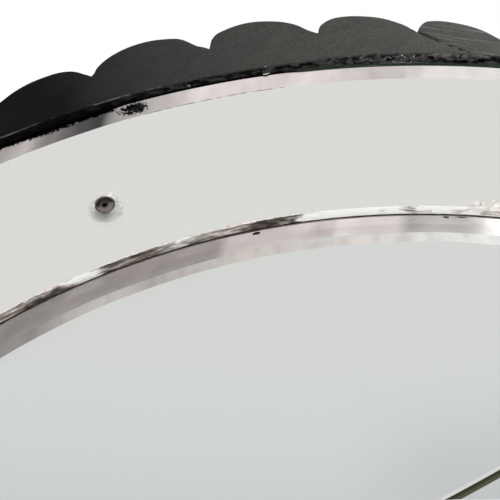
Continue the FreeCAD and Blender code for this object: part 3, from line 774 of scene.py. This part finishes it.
# Back, fixings and packing keep their solids and get finishes
def long_grain(name, along, pale, dark, ring_scale):
    """Sawn wood with its grain along one axis."""
    made, g = new_material(name)
    factors = {"x": (3.0, 60.0, 60.0), "z": (60.0, 60.0, 3.0)}[along]
    place = g.stretch(g.place(), factors)
    rings = g.noise(place, scale=ring_scale, detail=6.0, distortion=0.9)
    fibre = g.noise(g.stretch(place, (4.0, 4.0, 4.0)), scale=3.0, detail=4.0)
    tone = g.mix(g.step(rings, 0.38, 0.66), pale, dark)
    base = g.mix(g.math("MULTIPLY", fibre, 0.35), tone, tuple(0.55 * part for part in dark[:3]) + (1.0,))
    depth = g.add("SeparateXYZ", output="Y", inputs={0: g.place()})
    behind_front = g.step(depth, REBATE_FRONT + 0.2 * MM, REBATE_FRONT + 0.5 * MM)
    base = g.mix(behind_front, (0.04, 0.03, 0.026, 1), base)
    g.surface(Base_Color=base, Roughness=g.math("MULTIPLY_ADD", fibre, 0.25, 0.5),
              Normal=g.bump(g.math("ADD", rings, fibre), 0.25, 0.4 * MM))
    return made


def metal(name, clean, stain, rust):
    """Old metal: clean colour, stains and how much of it they cover."""
    made, g = new_material(name)
    cloud = g.noise(g.place(), scale=520.0, detail=5.0)
    stained = g.step(cloud, 0.62 - rust, 0.8 - rust)
    scratches = g.noise(g.stretch(g.place(), (900.0, 900.0, 120.0)), detail=3.0)
    g.surface(Base_Color=g.mix(stained, clean, stain), Metallic=g.scaled(stained, -0.7, 1.0),
              Roughness=g.scaled(stained, 0.35, 0.32), Normal=g.bump(scratches, 0.15, 0.1 * MM))
    return made


def old_screw():
    """Border screws: dull stained metal, with painted shade of the countersunk hole: black in the socket and
    on the outward side.
    """
    made, g = new_material("old_screw")
    angle, radius, depth = g.clock()
    cloud = g.noise(g.place(), scale=640.0, detail=5.0, distortion=0.8)
    reach = g.scaled(cloud, 2.4 * MM, hole_distance(g, angle, radius))
    share = g.math("DIVIDE", g.math("SUBTRACT", reach, 1.2 * MM), 5.0 * MM)
    # Black in the socket and darker again at the rim of the head: painted shade; stained metal between
    base = g.ramp(share, (
        (0.2, (0.006, 0.005, 0.005)), (0.36, (0.05, 0.043, 0.038)), (0.5, (0.17, 0.148, 0.128)),
        (0.72, (0.24, 0.21, 0.18)), (0.9, (0.07, 0.06, 0.05))))
    # Painted shade on the outward side of each head, cast by the countersink
    outward_shade_reach = g.scaled(cloud, 5.0 * MM, g.math("SUBTRACT", radius, SCREW_CIRCLE))
    base = g.mix(g.product(g.step(outward_shade_reach, 1.6 * MM, 3.6 * MM), 0.9), base, (0.008, 0.007, 0.006, 1))
    g.surface(Base_Color=base, Metallic=g.step(share, 0.3, 0.6), Roughness=g.scaled(cloud, 0.3, 0.3),
              Normal=g.bump(cloud, 0.3, 0.2 * MM))
    return made


def soft_layer(name, pale, dark, scale):
    made, g = new_material(name)
    fluff = g.noise(g.place(), scale=scale, detail=6.0)
    g.surface(Base_Color=g.mix(fluff, pale, dark), Roughness=g.math("MULTIPLY_ADD", fluff, 0.2, 0.75),
              Normal=g.bump(fluff, 0.5, 0.3 * MM))
    return made


def finish_node(name, made):
    """Gives a carried-over solid its finish."""
    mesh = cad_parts[name].data
    mesh.materials.clear()
    mesh.materials.append(made)


def ease_edges(name, width):
    """Softens the arrises of a carried-over solid."""
    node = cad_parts[name]
    weld = node.modifiers.new("weld", "WELD")
    weld.merge_threshold = 0.01 * MM
    ease = node.modifiers.new("ease", "BEVEL")
    ease.width = width
    ease.segments = 3
    ease.limit_method = "ANGLE"
    ease.angle_limit = math.radians(40.0)
    ease.harden_normals = True


WINDOW_LIGHT = 20.0
TURN_RANGE = 20.0
QUARTER_TURN = 90.0
FLOOR_RISE = (8.2, 9.6)


# Room: white behind the mirror; the reflections show a pale wall over darker warm furnishings in bands
def room():
    world = bpy.data.worlds.new("room")
    bpy.context.scene.world = world
    world.use_nodes = True
    g = Graph(world.node_tree)
    parts = g.add("SeparateXYZ", inputs={0: g.add("TexCoord", output="Generated")}).node.outputs
    rise = g.math("DEGREES", g.math("ARCSINE", parts["Z"]))
    turn = g.math("DEGREES", g.math("ARCTAN2", parts["X"], g.product(parts["Y"], -1.0)))
    across = g.scaled(turn, 1.0 / TURN_RANGE, 0.5)

    def warmed(tones, tint):
        return g.tint(tones, g.mix(g.step(turn, 3.0, 5.6), (*tint, 1.0), (0.98, 0.93, 0.91, 1)))

    # Furnishings in three bands, each from left to right
    low = g.ramp(across, (
        (0.49, 0.31), (0.6, 0.4), (0.61, 0.66), (0.634, 0.76), (0.665, 0.72), (0.67, 1.1), (0.674, 0.8),
        (0.69, 0.76), (0.7, 0.49), (0.706, 0.53), (0.712, 0.78), (0.72, 1.2), (0.73, 1.45)))
    middle = g.ramp(across, (
        (0.27, 0.46), (0.29, 0.58), (0.303, 0.3), (0.345, 0.07), (0.377, 0.015), (0.389, 0.4), (0.452, 0.68),
        (0.478, 0.88), (0.557, 0.88), (0.583, 0.84), (0.603, 1.0), (0.615, 1.0), (0.636, 0.78), (0.687, 0.68),
        (0.725, 0.95), (0.79, 0.91)))
    high = g.ramp(across, (
        (0.09, 0.28), (0.125, 0.27), (0.16, 0.41), (0.235, 0.6), (0.305, 0.43), (0.41, 0.6), (0.52, 0.69),
        (0.595, 0.66), (0.632, 0.81), (0.706, 0.79), (0.85, 1.0)))
    level = g.scaled(rise, 1.0 / QUARTER_TURN, 0.5)
    far_wall = g.ramp(level, ((0.3, (0.5, 0.49, 0.475)), (0.6, (0.66, 0.655, 0.645))))
    above_floor = g.step(rise, *FLOOR_RISE)
    seen = g.mix(above_floor, far_wall, warmed(low, (1.01, 0.88, 0.86)))
    seen = g.mix(g.step(rise, 14.0, 16.0), seen, warmed(middle, (0.95, 0.846, 0.841)))
    seen = g.mix(g.step(rise, 20.6, 21.1), seen, warmed(high, (1.01, 0.895, 0.84)))
    cloud = g.noise(g.combine(g.product(turn, 2.4), g.product(rise, 1.1), 0.0), detail=4.0)
    shade = g.ramp(cloud, ((0.3, 0.84), (0.5, 1.0), (0.7, 1.1)))
    seen = g.tint(seen, g.mix(above_floor, (1, 1, 1, 1), shade))

    # Pale wall over them, a little in shade on the right
    wall = g.ramp(g.product(rise, 1.0 / QUARTER_TURN), (
        (0.272, (0.69, 0.685, 0.685)), (0.3, (0.73, 0.728, 0.722)), (0.322, (0.745, 0.738, 0.728)),
        (0.35, (0.754, 0.74, 0.727)), (0.4, (0.763, 0.744, 0.727)), (0.5, (0.763, 0.744, 0.727)),
        (0.62, (0.45, 0.44, 0.43)), (0.75, (0.1, 0.1, 0.1)), (1.0, (0.06, 0.06, 0.06))))
    shaded = g.product(g.step(turn, 0.0, 7.0), g.invert(g.step(rise, 25.5, 30.0)), 0.1)
    wall = g.mix(shaded, wall, (0.0, 0.0, 0.0, 1))
    off_middle = g.math("ABSOLUTE", g.math("SUBTRACT", turn, 2.3))
    aside = g.largest(g.math("SUBTRACT", off_middle, 1.3), 0.0)
    seen = g.mix(g.step(g.scaled(aside, 0.05, rise), 24.4, 24.52), seen, wall)

    # Dark olive rail with a pale edge, low on the right of the wall
    rail = g.math("SUBTRACT", g.scaled(turn, -0.406, rise), 21.818)
    short = g.product(g.window(turn, 5.8, 14.0, 0.2), g.step(rise, 24.34, 24.37))
    seen = g.mix(g.product(short, g.window(rail, 0.18, 0.28, 0.06)), seen, (0.8, 0.74, 0.72, 1))
    olive = g.mix(g.step(rail, -0.08, 0.06), (0.095, 0.098, 0.06, 1), (0.045, 0.047, 0.032, 1))
    seen = g.mix(g.product(short, g.window(rail, -0.155, 0.135, 0.04)), seen, olive)

    # Dark behind the mirror, and a bright window high on the right
    behind = g.product(g.step(g.math("ABSOLUTE", turn), 85.0, 105.0), 0.85)
    seen = g.mix(behind, seen, (0.02, 0.02, 0.02, 1))
    window = g.product(g.window(turn, 36.0, 60.0, 8.0), g.window(rise, 35.0, 60.0, 8.0))
    seen = g.mix(window, seen, (WINDOW_LIGHT, WINDOW_LIGHT, WINDOW_LIGHT, 1))
    path = g.add("LightPath").node.outputs
    mirrored = g.largest(path["Is Glossy Ray"], path["Is Transmission Ray"])
    light = g.mix(mirrored, (1, 1, 1, 1), seen)
    colour = g.mix(path["Is Camera Ray"], light, (1, 1, 1, 1))
    background = g.add("Background", inputs={"Color": colour})
    output = g.tree.nodes.new("ShaderNodeOutputWorld")
    g.tree.links.new(background, output.inputs["Surface"])


def floor():
    made, g = new_material("pale_floor")
    wash = g.noise(g.place(), scale=3.0, detail=4.0)
    base = g.mix(wash, (0.68, 0.68, 0.67, 1), (0.74, 0.74, 0.73, 1))
    g.surface(Base_Color=base, Roughness=g.math("MULTIPLY_ADD", wash, 0.2, 0.6))
    half = 8.0
    level = cad_box[0].z
    corners = [(-half, -half, level), (half, -half, level), (half, half, level), (-half, half, level)]
    mesh = bpy.data.meshes.new("floor")
    mesh.from_pydata(corners, [], [(0, 1, 2, 3)])
    mesh.materials.append(made)
    stage = bpy.data.objects.new("floor", mesh)
    bpy.context.scene.collection.objects.link(stage)


def soft_lamp(name, target, turn, rise, distance, size, power):
    """A square soft lamp, seen from its target at a turn to the right and a rise above the horizon."""
    side, up = math.radians(turn), math.radians(rise)
    towards = Vector((math.sin(side) * math.cos(up), -math.cos(side) * math.cos(up), math.sin(up)))
    data = bpy.data.lights.new(name, "AREA")
    data.size = size
    data.energy = power
    lamp = bpy.data.objects.new(name, data)
    lamp.location = Vector(target) + towards * distance
    lamp.rotation_euler = towards.to_track_quat("Z", "Y").to_euler()
    lamp.visible_transmission = False
    lamp.visible_glossy = False
    bpy.context.scene.collection.objects.link(lamp)


# Camera: a close view of the top of the mirror from below
CAMERA_PLACE = (-37.79 * MM, -490.58 * MM, -42.84 * MM)
CAMERA_RIGHT = Vector((0.99847, 0.05502, 0.00504))
CAMERA_UP = Vector((0.02783, -0.57977, 0.81431))
CAMERA_LENS = 93.6
CAMERA_SENSOR = 36.0


def camera():
    data = bpy.data.cameras.new("camera")
    data.sensor_width = CAMERA_SENSOR
    data.lens = CAMERA_LENS
    data.clip_start = 0.01
    made = bpy.data.objects.new("camera", data)
    right = CAMERA_RIGHT.normalized()
    back = right.cross(CAMERA_UP).normalized()
    up = back.cross(right)
    turn = Matrix((right, up, back)).transposed().to_4x4()
    made.matrix_world = Matrix.Translation(CAMERA_PLACE) @ turn
    bpy.context.scene.collection.objects.link(made)
    bpy.context.scene.camera = made


# Build
glass_materials = [mirror_glass(), silver(), ground_edge(), broken_glass(), glass_rim(),
                   fine_edge("fine_edge", (0.72, 0.67, 0.64, 1), (0.5, 0.46, 0.44, 1)),
                   fine_edge("bored_edge", (0.4, 0.35, 0.31, 1), (0.2, 0.17, 0.15, 1)),
                   fine_edge("frosted_edge", (0.96, 0.94, 0.92, 1), (0.84, 0.81, 0.79, 1))]
glasses = {"border_mirror": border_mirror(glass_materials), "centre_mirror": centre_mirror(glass_materials)}
for node, piece in glasses.items():
    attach(piece, "mirror")
    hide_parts(node)

RAISED_GRAIN = (1.0, 0.35, 0.6, 0.3, 0.8, 0.4, 0.5, 0.05)
lacquer = black_wood()
for number, raised in enumerate(RAISED_GRAIN, start=1):
    piece = frame_board(number, lacquer, raised)
    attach(piece, "mirror")
    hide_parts("frame_board_%d" % number)

plywood = long_grain("plywood", "x", (0.43, 0.28, 0.155, 1), (0.33, 0.2, 0.105, 1), 1.5)
pine_across = long_grain("pine_across", "x", (0.64, 0.46, 0.27, 1), (0.48, 0.3, 0.155, 1), 1.2)
pine_upright = long_grain("pine_upright", "z", (0.64, 0.46, 0.27, 1), (0.48, 0.3, 0.155, 1), 1.2)
steel = metal("steel", (0.55, 0.55, 0.54, 1), (0.2, 0.13, 0.08, 1), 0.05)
FINISHES = {
    "backboard": plywood,
    "cross_batten": pine_across,
    "upright_batten": pine_upright,
    "border_screws": old_screw(),
    "border_washers": soft_layer("fibre", (0.07, 0.06, 0.052, 1), (0.004, 0.0035, 0.003, 1), 420.0),
    "rim_screws": steel,
    "batten_screws": steel,
    "hanger_screws": steel,
    "hanger_plate_left": steel,
    "hanger_plate_right": steel,
    "hanger_ring_left": steel,
    "hanger_ring_right": steel,
    "border_packing": soft_layer("felt", (0.3, 0.29, 0.27, 1), (0.16, 0.15, 0.14, 1), 900.0),
    "mastic_dabs": soft_layer("mastic", (0.42, 0.36, 0.26, 1), (0.28, 0.23, 0.16, 1), 150.0),
}
for name, made in FINISHES.items():
    finish_node(name, made)
for name in ("cross_batten", "upright_batten"):
    ease_edges(name, 1.0 * MM)

room()
floor()
soft_lamp("key", (0.0, 0.0, 0.4), 55.0, 45.0, 3.0, 2.0, 40.0)
soft_lamp("fill", (0.0, 0.0, 0.35), -12.0, -22.0, 0.9, 0.55, 9.1)
camera()
bpy.context.scene.view_settings.view_transform = "Standard"
